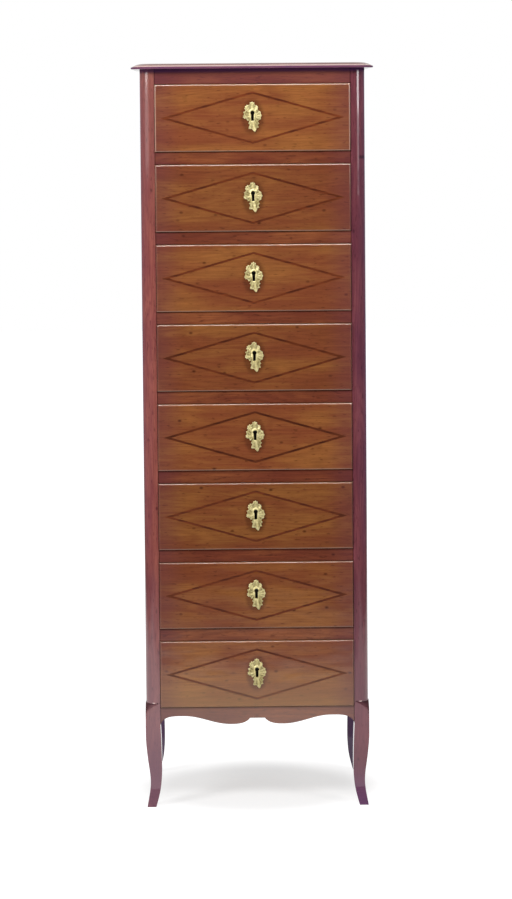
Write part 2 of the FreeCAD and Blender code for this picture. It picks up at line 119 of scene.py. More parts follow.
def post_section(height, rounded):
    """Outline of a post at a height, as insets from the knee across and from front to back."""
    face = knee_swell if rounded else cut_at(outer_cut, height)
    inside = cut_at(inner_cut, height)
    behind = cut_at(deep_cut, height)
    return [(inside, behind), (inside, face)] + outer_corner(height, face, rounded) + [(face, behind)]


def shown(mesh, name, material, sharp=35.0):
    """Turns a finished bmesh into an object with smooth faces and crisp edges."""
    bmesh.ops.recalc_face_normals(mesh, faces=mesh.faces)
    data = bpy.data.meshes.new(name)
    mesh.to_mesh(data)
    mesh.free()
    for spare in ("custom_normal", "sharp_face"):
        if spare in data.attributes:
            data.attributes.remove(data.attributes[spare])
    data.shade_smooth()
    data.set_sharp_from_angle(angle=math.radians(sharp))
    data.materials.clear()
    data.materials.append(material)
    piece = bpy.data.objects.new(name, data)
    bpy.context.scene.collection.objects.link(piece)
    return piece


def eased(piece, width):
    """Takes the sharpness off the arrises, as sandpaper and years of dusting do."""
    rub = piece.modifiers.new("eased_arris", "BEVEL")
    rub.limit_method = "ANGLE"
    rub.angle_limit = math.radians(40)
    rub.width = width
    rub.segments = 2
    rub.harden_normals = True
    return piece


def tone(red, green, blue):
    """A colour as the eye reads it, from 0 to 255, turned into the shader's linear colour."""
    return [((part / 255 + 0.055) / 1.055) ** 2.4 for part in (red, green, blue)] + [1.0]


def wire(tree, kind, inputs, **settings):
    """Adds a shader node and fills its inputs with values or with other nodes' outputs."""
    node = tree.nodes.new("ShaderNode" + kind)
    for name, value in settings.items():
        setattr(node, name, value)
    for name, value in inputs.items():
        if isinstance(value, bpy.types.NodeSocket):
            tree.links.new(value, node.inputs[name])
        else:
            node.inputs[name].default_value = value
    return node


def number(tree, operation, first, second=0.0, third=0.0):
    """Works a sum out on the shader."""
    return wire(tree, "Math", {0: first, 1: second, 2: third}, operation=operation).outputs[0]


def stretch(tree, value, low, high, start=0.0, end=1.0):
    """Spreads the values between low and high over start to end, with soft shoulders."""
    return wire(tree, "MapRange", {"Value": value, "From Min": low, "From Max": high, "To Min": start,
                                   "To Max": end}, interpolation_type="SMOOTHSTEP").outputs[0]


def blended(tree, share, first, second):
    """Lays a share of the second colour over the first."""
    return wire(tree, "Mix", {0: share, 6: first, 7: second}, data_type="RGBA").outputs[2]


def grain(tree, board, along, across, detail, seed=0.0):
    """Noise drawn out along the board, with this many features to the metre each way."""
    spread = wire(tree, "Mapping", {"Vector": board, "Location": (seed, seed, seed),
                                    "Scale": (along, across, across)})
    noise = wire(tree, "TexNoise", {"Vector": spread.outputs[0], "Scale": 1.0, "Detail": detail,
                                    "Roughness": 0.55})
    return noise.outputs[0]


upright_grain = (0.0, math.pi / 2, 0.0)


def fruitwood(name, tones, turn, shift, seam=1.0, front=None, dust_and_light_top=0.30, washes=()):
    """Waxed fruitwood: golden and red bands, growth rings, fibre, dark ticks, pores and a few pin knots.

    It takes its last tone near the floor, partly dust and partly painted light, goes plum toward
    a seam at either hand and dark along it, and is darkened by a painted shadow under the top board
    and by painted shade in a scooped stop. A drawer front, given as its box and the height of its
    keyhole plate, is pale along its arrises, partly rubbed wear and partly a painted highlight, has a
    painted shadow round the plate and is polished on its face alone. Other tints are given as washes:
    a colour, its share and the heights it grows between.
    """
    golden, ruddy, deep, knot, dust_and_painted_light = tones
    material = bpy.data.materials.new(name)
    material.use_nodes = True
    tree = material.node_tree
    finish = tree.nodes["Principled BSDF"]
    place = wire(tree, "TexCoord", {}).outputs["Object"]
    board = wire(tree, "Mapping", {"Vector": place, "Location": shift, "Rotation": turn}).outputs[0]

    bands = grain(tree, board, 3.0, 26.0, 2.0)
    clouds = grain(tree, board, 9.0, 15.0, 2.0, 4.1)
    swirl = grain(tree, board, 3.2, 22.0, 1.0, 7.7)
    rings = number(tree, "SINE", number(tree, "MULTIPLY", swirl, 70.0))
    rings = number(tree, "MULTIPLY_ADD", rings, 0.5, 0.5)
    fibre = grain(tree, board, 16.0, 460.0, 3.0, 2.3)
    pores = stretch(tree, grain(tree, board, 70.0, 1500.0, 1.0, 5.9), 0.62, 0.72)
    spot = wire(tree, "SeparateXYZ", {0: board}).outputs
    across_and_in = number(tree, "MULTIPLY_ADD", spot[1], 0.8, spot[2])
    spot = wire(tree, "CombineXYZ", {0: number(tree, "MULTIPLY", spot[0], 14.0),
                                     1: number(tree, "MULTIPLY_ADD", across_and_in, 22.0, 0.37)}).outputs[0]
    knots = wire(tree, "TexVoronoi", {"Vector": spot, "Scale": 1.0, "Randomness": 1.0},
                 voronoi_dimensions="2D")
    chance = wire(tree, "SeparateColor", {0: knots.outputs["Color"]}).outputs[0]
    near = stretch(tree, knots.outputs["Distance"], 0.01, 0.085, 1.0, 0.0)
    speck = number(tree, "MULTIPLY", near, stretch(tree, chance, 0.5, 1.0))

    mottled = number(tree, "MULTIPLY_ADD", clouds, 0.45, number(tree, "MULTIPLY", bands, 0.75))
    colour = blended(tree, stretch(tree, mottled, 0.44, 0.76), golden, ruddy)
    colour = blended(tree, number(tree, "MULTIPLY", rings, 0.22), colour, deep)
    colour = blended(tree, stretch(tree, fibre, 0.38, 0.68, 0.0, 0.34), colour, deep)
    colour = blended(tree, number(tree, "MULTIPLY", pores, 0.45), colour, knot)
    colour = blended(tree, number(tree, "MULTIPLY", speck, 0.75), colour, knot)
    ticks = stretch(tree, grain(tree, board, 60.0, 260.0, 1.0, 3.7), 0.62, 0.76, 0.0, 0.42)
    colour = blended(tree, ticks, colour, knot)

    sides = wire(tree, "SeparateXYZ", {0: place}).outputs
    # Near the floor: partly dust, partly painted light (floor reflection in front, shade on the rear posts).
    dust_and_light_full = 0.17
    colour = blended(tree, stretch(tree, sides[2], dust_and_light_top, dust_and_light_full, 0.0, 0.36), colour, dust_and_painted_light)
    for wash, share, start, end in washes:
        colour = blended(tree, stretch(tree, sides[2], start, end, 0.0, share), colour, wash)
    outward = number(tree, "ABSOLUTE", sides[0])
    plum_reach = 0.065
    plum = stretch(tree, outward, seam - plum_reach, seam, 0.0, 0.4)
    colour = blended(tree, plum, colour, tone(94, 48, 60))
    grime_reach = 0.0022
    grime_full = 0.0006
    grime = stretch(tree, outward, seam - grime_reach, seam - grime_full, 0.0, 0.8)
    colour = blended(tree, grime, colour, knot)
    # A violet painted shadow under the top board's overhang, where the coat also thins.
    shadow_reach = 0.010
    shadow_full = 0.003
    shadow_end = top_underside - 0.00001
    painted_shadow_under_top = stretch(tree, sides[2], top_underside - shadow_reach, top_underside - shadow_full, 0.0, 0.64)
    painted_shadow_under_top = number(tree, "MULTIPLY", painted_shadow_under_top, number(tree, "LESS_THAN", sides[2], shadow_end))
    colour = blended(tree, painted_shadow_under_top, colour, tone(66, 40, 92))
    # Painted shade in the scooped stops.
    scoop_shade = wire(tree, "Attribute", {}, attribute_name="scoop_shade").outputs["Fac"]
    colour = blended(tree, number(tree, "MULTIPLY", scoop_shade, 0.7), colour, knot)
    # Painted shade tints the top's nose violet.
    nose_shade = wire(tree, "Attribute", {}, attribute_name="nose_shade").outputs["Fac"]
    colour = blended(tree, number(tree, "MULTIPLY", nose_shade, 0.5), colour, tone(96, 56, 110))
    # A painted highlight on the stops' lips and on the top's thumbnail.
    painted_highlight = wire(tree, "Attribute", {}, attribute_name="painted_highlight").outputs["Fac"]
    colour = blended(tree, number(tree, "MULTIPLY", painted_highlight, 0.6), colour, tone(232, 204, 196))
    polish = number(tree, "MULTIPLY_ADD", painted_shadow_under_top, -1.4, 0.9)
    if front is not None:
        low, high, plate = front
        plate_half_width = 0.020
        plate_half_height = 0.0315
        across = number(tree, "MULTIPLY", sides[0], 1 / plate_half_width)
        above = number(tree, "MULTIPLY_ADD", sides[2], 1 / plate_half_height, -plate / plate_half_height)
        away = number(tree, "SQRT", number(tree, "MULTIPLY_ADD", across, across,
                                           number(tree, "MULTIPLY", above, above)))
        # A painted shadow round the keyhole plate.
        colour = blended(tree, stretch(tree, away, 1.3, 0.9, 0.0, 0.4), colour, knot)
        # Pale along the arrises: partly rubbed wear, partly a painted highlight, stronger on the upper
        # drawers.
        edge_pale_reach = 0.003
        edge_pale_full = 0.0012
        foot_pale_reach = 0.0026
        foot_pale_full = 0.001
        ends = stretch(tree, outward, high.x - edge_pale_reach, high.x - edge_pale_full, 0.0, 0.4)
        ends = number(tree, "MULTIPLY", ends, stretch(tree, sides[2], 1.15, 1.4, 0.15, 1.0))
        head = stretch(tree, sides[2], high.z - edge_pale_reach, high.z - edge_pale_full, 0.0, 0.36)
        foot = stretch(tree, sides[2], low.z + foot_pale_reach, low.z + foot_pale_full, 0.0, 0.3)
        rub_and_highlight = number(tree, "MAXIMUM", number(tree, "MAXIMUM", ends, head), foot)
        rub_and_highlight = number(tree, "MULTIPLY", rub_and_highlight, stretch(tree, sides[2], 0.4, 1.4, 0.55, 1.0))
        face_depth = 0.004
        face_end = 0.008
        on_face = stretch(tree, sides[1], low.y + face_depth, low.y + face_end, 1.0, 0.0)
        rub_and_highlight = number(tree, "MULTIPLY", rub_and_highlight, on_face)
        colour = blended(tree, rub_and_highlight, colour, tone(222, 186, 160))
        polish = number(tree, "MULTIPLY", polish, on_face)
    tree.links.new(colour, finish.inputs["Base Color"])

    waves = grain(tree, board, 22.0, 40.0, 1.0, 9.3)
    hand = wire(tree, "Bump", {"Height": waves, "Strength": 0.22, "Distance": 0.002})
    hollow = number(tree, "MULTIPLY", fibre, 0.5)
    hollow = number(tree, "SUBTRACT", hollow, number(tree, "ADD", pores, speck))
    skin = wire(tree, "Bump", {"Height": hollow, "Strength": 0.35, "Distance": 0.00006,
                               "Normal": hand.outputs[0]})
    tree.links.new(skin.outputs[0], finish.inputs["Normal"])
    tree.links.new(hand.outputs[0], finish.inputs["Coat Normal"])
    tree.links.new(stretch(tree, fibre, 0.35, 0.7, 0.24, 0.36), finish.inputs["Roughness"])
    finish.inputs["Specular IOR Level"].default_value = 0.0
    tree.links.new(polish, finish.inputs["Coat Weight"])
    finish.inputs["Coat Roughness"].default_value = 0.07
    return material


# Golden, ruddy, deep and knot tones of each post, and the tone it takes near the floor, partly dust and
# partly painted light. The right post's tones are darker and more violet than the left's, painted shade
# and a painted cool reflection, and the rear posts' are darker still, painted shade. The rear wash is
# painted shade on the rear legs, and the violet tone is laid on toward the feet.
left_tones = [tone(148, 83, 72), tone(124, 61, 62), tone(92, 39, 45), tone(46, 16, 22),
              tone(144, 122, 130)]
right_shaded_tones = [tone(126, 67, 72), tone(102, 50, 61), tone(75, 31, 46), tone(40, 14, 20),
               tone(132, 88, 98)]
rear_shaded_tones = [tone(126, 66, 54), tone(104, 48, 44), tone(76, 32, 34), tone(40, 14, 18),
              tone(74, 66, 96)]
foot_violet = tone(106, 74, 100)
rear_painted_shade = [(tone(98, 84, 122), 0.6, 0.24, 0.12)]


def make_post(name, node, side, knee_y, inward, front, tones, washes):
    """Extrudes a post from its foot up, with its section drawn afresh at each height."""
    mesh = bmesh.new()
    place = mesh.verts.layers.int.new("place")
    scoop_shade = mesh.verts.layers.float.new("scoop_shade")
    painted_highlight = mesh.verts.layers.float.new("painted_highlight")
    heights = [(step * leg_step, False) for step in range(int(round_stop_bottom / leg_step) + 1)]
    if front:
        rise = round_stop_top - round_stop_bottom
        climbs = [1 - (1 - step / stop_steps) ** 2 for step in range(1, stop_steps + 1)]
        heights += [(round_stop_bottom + rise * climb, False) for climb in climbs]
        heights += [(round_stop_top, True), (round_stop_top + lip_highlight_rise, True)]
    else:
        heights.append((round_stop_top, False))
    heights.append((top_underside, front))
    top = None
    for height, rounded in heights:
        outline = post_section(height if front else min(height, round_stop_bottom), rounded)
        points = [Vector((side * (knee_x - a), knee_y + inward * b, height)) for a, b in outline]
        if top is None:
            top = mesh.faces.new([mesh.verts.new(point) for point in points])
            for index, vert in enumerate(top.verts):
                vert[place] = index
        else:
            raised = bmesh.ops.extrude_face_region(mesh, geom=[top])["geom"]
            top = [part for part in raised if isinstance(part, bmesh.types.BMFace)][0]
            for vert in top.verts:
                vert.co = points[vert[place]]
                turn = vert[place] - points_before_corner
                share = (turn - flank_steps) / corner_steps
                in_scoop = front and not rounded and height > round_stop_bottom and 0.0 <= share <= 1.0
                vert[scoop_shade] = min(1.0, scoop_darkness + share) if in_scoop else 0.0
                on_lip = rounded and height == round_stop_top and turn in lip_highlight_steps
                vert[painted_highlight] = lip_highlight if on_lip else 0.0
    wood = fruitwood(name + "_wood", tones, upright_grain, (0.4 * side, 1.3 * knee_y, 0.7 * side),
                     dust_and_light_top=post_dust_and_light_top, washes=washes)
    piece = eased(shown(mesh, name, wood), post_arris)
    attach(piece, "case")
    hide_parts(node)


# The left post is paler near its top, a painted reflection; both front posts turn violet toward their feet.
make_post("polished_front_right_post", "front_right_post", 1, front_knee_y, 1, True, right_shaded_tones,
          [(tone(98, 66, 104), 0.8, 0.105, -0.01)])
make_post("polished_front_left_post", "front_left_post", -1, front_knee_y, 1, True, left_tones,
          [(tone(186, 136, 112), 0.15, 1.05, 1.45), (foot_violet, 0.44, 0.25, 0.06)])
make_post("polished_rear_right_post", "rear_right_post", 1, rear_knee_y, -1, False, rear_shaded_tones, rear_painted_shade)
make_post("polished_rear_left_post", "rear_left_post", -1, rear_knee_y, -1, False, rear_shaded_tones, rear_painted_shade)

# The rails across the front and the apron. Straight fruitwood rails with stub tenons, each with a mortise
# in its underside for a lock bolt. The apron is thicker stock sawn to a serpentine with a flat middle.
level_grain = (0.0, 0.0, 0.0)
cad_weld = 0.000002
flat_angle = math.radians(0.5)
rail_tones = [tone(140, 80, 46), tone(110, 54, 36), tone(76, 34, 26), tone(42, 18, 14),
              tone(146, 116, 104)]


def planed_copy(node, name, material, body, arris, flank=None, flank_x=0.0):
    """The piece as it was cut, with its triangles merged to whole faces and its arrises eased.

    Whatever stands further out than flank_x on either hand is made of the flank material.
    """
    mesh = bmesh.new()
    mesh.from_mesh(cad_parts[node].data)
    bmesh.ops.remove_doubles(mesh, verts=mesh.verts, dist=cad_weld)
    bmesh.ops.dissolve_limit(mesh, angle_limit=flat_angle, verts=mesh.verts, edges=mesh.edges)
    piece = eased(shown(mesh, name, material), arris)
    if flank is not None:
        piece.data.materials.append(flank)
        for face in piece.data.polygons:
            face.material_index = int(abs(face.center.x) > flank_x)
    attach(piece, body)
    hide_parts(node)


rail_shoulder = knee_x - inner_cut[0][1]
# The rails take a violet tint just under the top, painted shade, and go darker violet toward the floor.
rail_wood = fruitwood("rail_wood", rail_tones, level_grain, (0.2, 0.6, 0.1), seam=rail_shoulder,
                      washes=[(tone(122, 72, 88), 0.22, 1.38, 1.45), (foot_violet, 0.36, 0.20, 0.05)])
planed_copy("drawer_rails", "polished_drawer_rails", rail_wood, "case", arris=0.0006)
planed_copy("apron", "polished_apron", rail_wood, "case", arris=0.0008)

# The framed sides and back. Fruitwood rails tenoned into the posts hold a thin upright panel on each side.
# Three plain oak boards, never polished, close the back.
inward_grain = (0.0, 0.0, math.pi / 2)
side_wood = fruitwood("side_wood", rail_tones, upright_grain, (0.9, 0.2, 0.4))
back_rail_wood = fruitwood("back_rail_wood", rail_tones, level_grain, (0.5, 0.1, 0.9))
side_rail_wood = fruitwood("side_rail_wood", rail_tones, inward_grain, (0.1, 0.8, 0.3))
planed_copy("side_and_back_rails", "polished_side_and_back_rails", back_rail_wood, "case",
            arris=0.0006, flank=side_rail_wood, flank_x=0.19)
planed_copy("side_panels", "polished_side_panels", side_wood, "case", arris=0.0004)


def oak(name, turn, shift):
    """Bare oak, browned with age: open pores, pale ray flecks and dust in the grain."""
    material = bpy.data.materials.new(name)
    material.use_nodes = True
    tree = material.node_tree
    finish = tree.nodes["Principled BSDF"]
    place = wire(tree, "TexCoord", {}).outputs["Object"]
    board = wire(tree, "Mapping", {"Vector": place, "Location": shift, "Rotation": turn}).outputs[0]
    bands = grain(tree, board, 2.0, 34.0, 2.0)
    fibre = grain(tree, board, 12.0, 520.0, 3.0, 3.1)
    pores = stretch(tree, grain(tree, board, 40.0, 900.0, 1.0, 6.2), 0.58, 0.68)
    flecks = stretch(tree, grain(tree, board, 30.0, 120.0, 0.0, 8.8), 0.66, 0.74)
    colour = blended(tree, stretch(tree, bands, 0.35, 0.65), tone(176, 139, 92), tone(146, 106, 66))
    colour = blended(tree, stretch(tree, fibre, 0.4, 0.7, 0.0, 0.4), colour, tone(112, 78, 48))
    colour = blended(tree, number(tree, "MULTIPLY", pores, 0.55), colour, tone(70, 46, 28))
    colour = blended(tree, number(tree, "MULTIPLY", flecks, 0.35), colour, tone(196, 164, 118))
    tree.links.new(colour, finish.inputs["Base Color"])
    hollow = number(tree, "SUBTRACT", number(tree, "MULTIPLY", fibre, 0.6), pores)
    skin = wire(tree, "Bump", {"Height": hollow, "Strength": 0.5, "Distance": 0.0002})
    tree.links.new(skin.outputs[0], finish.inputs["Normal"])
    tree.links.new(stretch(tree, fibre, 0.3, 0.7, 0.62, 0.78), finish.inputs["Roughness"])
    finish.inputs["Specular IOR Level"].default_value = 0.25
    return material


upright_oak = oak("upright_oak", upright_grain, (0.3, 0.0, 0.8))
planed_copy("back_boards", "planed_back_boards", upright_oak, "case", arris=0.0006)

# The runners, kickers and stops inside the case. Oak strips that carry and guide the drawers from front
# to back, and small blocks glued on the rails where a drawer front comes to rest.
level_oak = oak("level_oak", level_grain, (0.6, 0.0, 0.2))
inward_oak = oak("inward_oak", inward_grain, (0.2, 0.0, 0.5))
planed_copy("drawer_runners", "planed_drawer_runners", inward_oak, "case", arris=0.0004)
planed_copy("drawer_stops", "planed_drawer_stops", level_oak, "case", arris=0.0004)

# The top board. Thin fruitwood with a thumbnail moulding over a small round nose, worked along the front
# and both ends and carried round the corners on the line of the posts. It drops over stubs on the posts.
top_low, top_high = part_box("top_board")
top_overhang = top_high.x - (knee_x - knee_swell)
corner_x = knee_x - knee_swell - post_round
corner_y = front_knee_y + knee_swell + post_round
edge_out = post_round + top_overhang
nose_radius = 0.00225
nose_steps = 8
quirk_width = 0.0008
quirk_height = 0.0005
thumbnail_width = 0.022
thumbnail_steps = 12
highlight_steps = 3
turn_steps = 14
top_arris = 0.0003
weld = 0.00001
thickness = top_high.z - top_low.z
step_out = edge_out - nose_radius - quirk_width
step_up = 2 * nose_radius + quirk_height
drop = thickness - step_up
sweep = (thumbnail_width ** 2 + drop ** 2) / (2 * drop)
sweep_angle = math.asin(thumbnail_width / sweep)
moulding = [(0.0, 0.0)]
for step in range(nose_steps + 1):
    angle = math.pi * step / nose_steps - math.pi / 2
    moulding.append((edge_out - nose_radius + nose_radius * math.cos(angle),
                     nose_radius + nose_radius * math.sin(angle)))
moulding.append((step_out, 2 * nose_radius))
for step in range(thumbnail_steps + 1):
    angle = sweep_angle * (1 - step / thumbnail_steps)
    moulding.append((step_out - thumbnail_width + sweep * math.sin(angle),
                     thickness - sweep * (1 - math.cos(angle))))
moulding.append((0.0, thickness))

mesh = bmesh.new()
nose_shade = mesh.verts.layers.float.new("nose_shade")
painted_highlight = mesh.verts.layers.float.new("painted_highlight")
verts = [mesh.verts.new((-corner_x - out, top_high.y, top_low.z + up)) for out, up in moulding]
# The nose is tinted violet, painted shade, and the lowest steps of the thumbnail are pale, a painted
# highlight.
thumbnail = nose_steps + 3
for vert in verts[1:nose_steps + 2]:
    vert[nose_shade] = 1.0
for vert in verts[thumbnail:thumbnail + highlight_steps]:
    vert[painted_highlight] = 1.0
run = [mesh.edges.new(ends) for ends in zip(verts, verts[1:])]


def carry(mesh, run, by):
    """Carries the moulding's line straight along the board."""
    parts = bmesh.ops.extrude_edge_only(mesh, edges=run)["geom"]
    bmesh.ops.translate(mesh, vec=by, verts=[part for part in parts if isinstance(part, bmesh.types.BMVert)])
    return [part for part in parts if isinstance(part, bmesh.types.BMEdge)]


def round_corner(mesh, run, centre_x):
    """Carries the moulding's line a quarter turn round a corner of the board."""
    parts = bmesh.ops.spin(mesh, geom=run, cent=(centre_x, corner_y, 0), axis=(0, 0, 1),
                           angle=math.pi / 2, steps=turn_steps)["geom_last"]
    return [part for part in parts if isinstance(part, bmesh.types.BMEdge)]


run = carry(mesh, run, (0, corner_y - top_high.y, 0))
run = round_corner(mesh, run, -corner_x)
run = carry(mesh, run, (2 * corner_x, 0, 0))
run = round_corner(mesh, run, corner_x)
run = carry(mesh, run, (0, top_high.y - corner_y, 0))
bmesh.ops.remove_doubles(mesh, verts=mesh.verts, dist=weld)
for height in (top_low.z, top_high.z):
    flat = [edge for edge in mesh.edges if edge.is_boundary
            and all(abs(vert.co.z - height) < weld and abs(vert.co.x) < corner_x + 10 * weld
                    for vert in edge.verts)]
    bmesh.ops.contextual_create(mesh, geom=flat)
bmesh.ops.holes_fill(mesh, edges=[edge for edge in mesh.edges if edge.is_boundary], sides=0)
top_tones = [tone(128, 68, 54), tone(108, 50, 46), tone(80, 34, 36), tone(42, 16, 20),
             tone(136, 104, 120)]
top_wood = fruitwood("top_wood", top_tones, level_grain, (0.7, 0.3, 0.5))
piece = eased(shown(mesh, "polished_top_board", top_wood), top_arris)
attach(piece, "case")
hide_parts("top_board")

# The eight drawers. Solid fruitwood fronts with a rounded edge standing proud of the rails, dovetailed to
# oak sides, and each with a lozenge of dark stringing let in flush.
drawer_tones = [tone(146, 92, 46), tone(126, 68, 39), tone(94, 46, 29), tone(44, 20, 14),
                tone(172, 140, 84)]


def stringing_wood(name, shade):
    """Dark hardwood in thin strips, finely streaked, paler on the lowest drawer: partly dust, partly painted
    light.
    """
    material = bpy.data.materials.new(name)
    material.use_nodes = True
    tree = material.node_tree
    finish = tree.nodes["Principled BSDF"]
    place = wire(tree, "TexCoord", {}).outputs["Object"]
    streaks = grain(tree, place, 30.0, 260.0, 3.0)
    pale = [part * shade for part in tone(98, 46, 22)[:3]] + [1.0]
    dark = [part * shade for part in tone(64, 28, 15)[:3]] + [1.0]
    colour = blended(tree, stretch(tree, streaks, 0.3, 0.7), pale, dark)
    height = wire(tree, "SeparateXYZ", {0: place}).outputs[2]
    dust_and_light_start = 0.33
    dust_and_light_full = 0.20
    # Paler toward the floor: partly dust and partly a painted reflection of the pale floor.
    dust_and_light = stretch(tree, height, dust_and_light_start, dust_and_light_full, 0.0, 0.3)
    colour = blended(tree, dust_and_light, colour, tone(150, 120, 100))
    tree.links.new(colour, finish.inputs["Base Color"])
    skin = wire(tree, "Bump", {"Height": streaks, "Strength": 0.3, "Distance": 0.0001})
    tree.links.new(skin.outputs[0], finish.inputs["Normal"])
    finish.inputs["Roughness"].default_value = 0.3
    finish.inputs["Specular IOR Level"].default_value = 0.15
    return material


# How light each drawer's board and stringing are, from the top drawer down.
board_shades = [1.05, 0.9, 0.98, 0.9, 1.0, 0.86, 0.94, 1.0]
string_shades = [1.4, 1.17, 1.27, 1.05, 0.85, 1.17, 1.2, 1.2]
drawer_numbers = range(1, 9)
plate_above_front_foot = 0.0685
seam_beyond_front = 0.003
tray_side = 0.012
for drawer in drawer_numbers:
    name = "drawer_" + str(drawer)
    front_low, front_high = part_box(name + "_front")
    tones = [[part * board_shades[drawer - 1] for part in colour[:3]] + [1.0] for colour in drawer_tones]
    wood = fruitwood(name + "_wood", tones, level_grain, (0.53 * drawer, 0.0, 0.21 * drawer),
                     seam=front_high.x + seam_beyond_front,
                     front=(front_low, front_high, front_low.z + plate_above_front_foot))
    string = stringing_wood(name + "_string", string_shades[drawer - 1])
    for part, material in (("front", wood), ("stringing", string)):
        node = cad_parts[name + "_" + part]
        node.data.materials.clear()
        node.data.materials.append(material)
    planed_copy(name + "_tray", "planed_" + name + "_tray", level_oak, name, arris=0.0004,
                flank=inward_oak, flank_x=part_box(name + "_tray")[1].x - tray_side)

# The escutcheons. Each is brass, cast and chased into leafy scrolls round a raised collar and then gilt,
# and held over its keyhole by three round-headed pins. Sizes here are in millimetres from its middle.
millimetre = 0.001
# The notch before each leaf and the leaf's tip.
leaves = [((-6.5, 24.5), (1.4, 30.2)), ((5.0, 23.9), (11.2, 20.8)), ((10.4, 14.9), (18.2, 6.5)),
          ((10.4, -9.5), (13.4, -13.1)), ((10.4, -16.7), (12.6, -20.3)), ((7.7, -22.6), (4.1, -30.2)),
          ((-0.5, -23.9), (-8.4, -21.2)), ((-5.0, -16.7), (-8.4, -13.1)), ((-5.9, -8.6), (-10.8, -7.6)),
          ((-13.0, -4.0), (-19.4, -0.3)), ((-16.7, 5.0), (-18.6, 8.6)), ((-14.0, 12.2), (-15.6, 20.3))]
leaf_steps = 18
leaf_teeth = 4
tooth_depth = 1.5
broad_leaf = 9.0
leaf_rises = (0.9, 1.2)
notch_depth = 0.8
flute_depth = 0.5
bright_height = 2.545
dull_height = 0.727
pins = [(0.5, 25.0), (-14.5, 2.0), (3.0, -24.5)]
pin_radius = 1.2
pin_height = 2.4
keyhole_radius = 4.2
keyhole_above = 6.0
slot_half = 2.7
slot_below = 9.8
plate_heart = Vector((0.0, 2.0))
# Share of the way from the keyhole to the rim, height off the drawer front and share of the leaf relief.
plate_rings = [(0.0, 2.2, 0.0), (0.05, 2.9, 0.0), (0.12, 3.1, 0.0), (0.19, 2.6, 0.1), (0.25, 1.7, 0.3),
               (0.34, 1.7, 0.6), (0.46, 2.0, 1.0), (0.58, 2.0, 1.0), (0.7, 1.7, 1.0), (0.81, 1.7, 1.0),
               (0.89, 2.3, 0.9), (0.95, 2.2, 0.8), (1.0, 1.4, 0.5)]


def leaf_edge(first, tip, last, turn):
    """Point on the arc from one notch over the leaf's tip to the next, with a fine saw-toothed edge."""
    first, tip, last = Vector(first), Vector(tip), Vector(last)
    chord, side = last - first, tip - first
    twice = 2 * (chord.x * side.y - chord.y * side.x)
    hub = first + Vector((chord.length_squared * -side.y + side.length_squared * chord.y,
                          chord.length_squared * side.x - side.length_squared * chord.x)) / -twice
    start = math.atan2(first.y - hub.y, first.x - hub.x)
    sweep = (start - math.atan2(last.y - hub.y, last.x - hub.x)) % (2 * math.pi)
    angle = start - sweep * turn
    teeth = leaf_teeth if chord.length > broad_leaf else 2
    radius = (first - hub).length - tooth_depth * math.sin(math.pi * teeth * (turn - 0.5)) ** 2
    return hub + radius * Vector((math.cos(angle), math.sin(angle)))


def keyhole_edge(toward):
    """Point where a ray from the heart of the plate leaves the keyhole."""
    ray = toward.normalized()
    neck = keyhole_above - math.sqrt(keyhole_radius ** 2 - slot_half ** 2)
    if ray.y > 0 and abs(ray.x) * neck < slot_half * ray.y:
        reach = keyhole_above * ray.y
        return ray * (reach + math.sqrt(reach ** 2 - keyhole_above ** 2 + keyhole_radius ** 2))
    sides = slot_half / max(abs(ray.x), 0.0001)
    foot = slot_below / max(-ray.y, 0.0001)
    return ray * min(sides, foot)


def leaf_relief(leaf, turn):
    """Height of the chasing across a leaf: full in the middle, fluted, and cut down at the notches."""
    lift = math.sin(math.pi * turn)
    flutes = flute_depth * math.cos(2 * math.pi * leaf_teeth * (turn - 0.5))
    return leaf_rises[leaf % 2] * lift - notch_depth + flutes


plate = bmesh.new()
spoke = plate.verts.layers.int.new("spoke")
hollow = plate.verts.layers.float.new("hollow")
spokes = []
for leaf, (notch, tip) in enumerate(leaves):
    for step in range(leaf_steps):
        turn = step / leaf_steps
        rim = leaf_edge(notch, tip, leaves[(leaf + 1) % len(leaves)][0], turn) - plate_heart
        spokes.append((keyhole_edge(rim), rim, leaf_relief(leaf, turn)))


def plate_point(index, share, height, relief):
    """Point on a spoke of the plate, a share of the way out from the keyhole."""
    inner, outer, chasing = spokes[index]
    flat = plate_heart + inner.lerp(outer, share)
    return millimetre * Vector((flat.x, -max(height + relief * chasing, 0.0), flat.y))


foot = [plate.verts.new(plate_point(index, 0.0, 0.0, 0.0)) for index in range(len(spokes))]
for index, vert in enumerate(foot):
    vert[spoke] = index
ring = [plate.edges.new(ends) for ends in zip(foot, foot[1:] + foot[:1])]
back_edges = list(ring)
for share, height, relief in plate_rings + [(1.0, 0.0, 0.0)]:
    raised = bmesh.ops.extrude_edge_only(plate, edges=ring)["geom"]
    ring = [part for part in raised if isinstance(part, bmesh.types.BMEdge)]
    for vert in [part for part in raised if isinstance(part, bmesh.types.BMVert)]:
        vert.co = plate_point(vert[spoke], share, height, relief)
        sunk = (bright_height + vert.co.y / millimetre) / (bright_height - dull_height)
        vert[hollow] = min(1.0, max(0.0, sunk)) * relief
bmesh.ops.bridge_loops(plate, edges=back_edges + ring)
for across, up in pins:
    bmesh.ops.create_uvsphere(plate, u_segments=12, v_segments=8, radius=pin_radius * millimetre,
                              matrix=Matrix.Translation(millimetre * Vector((across, -pin_height, up))))


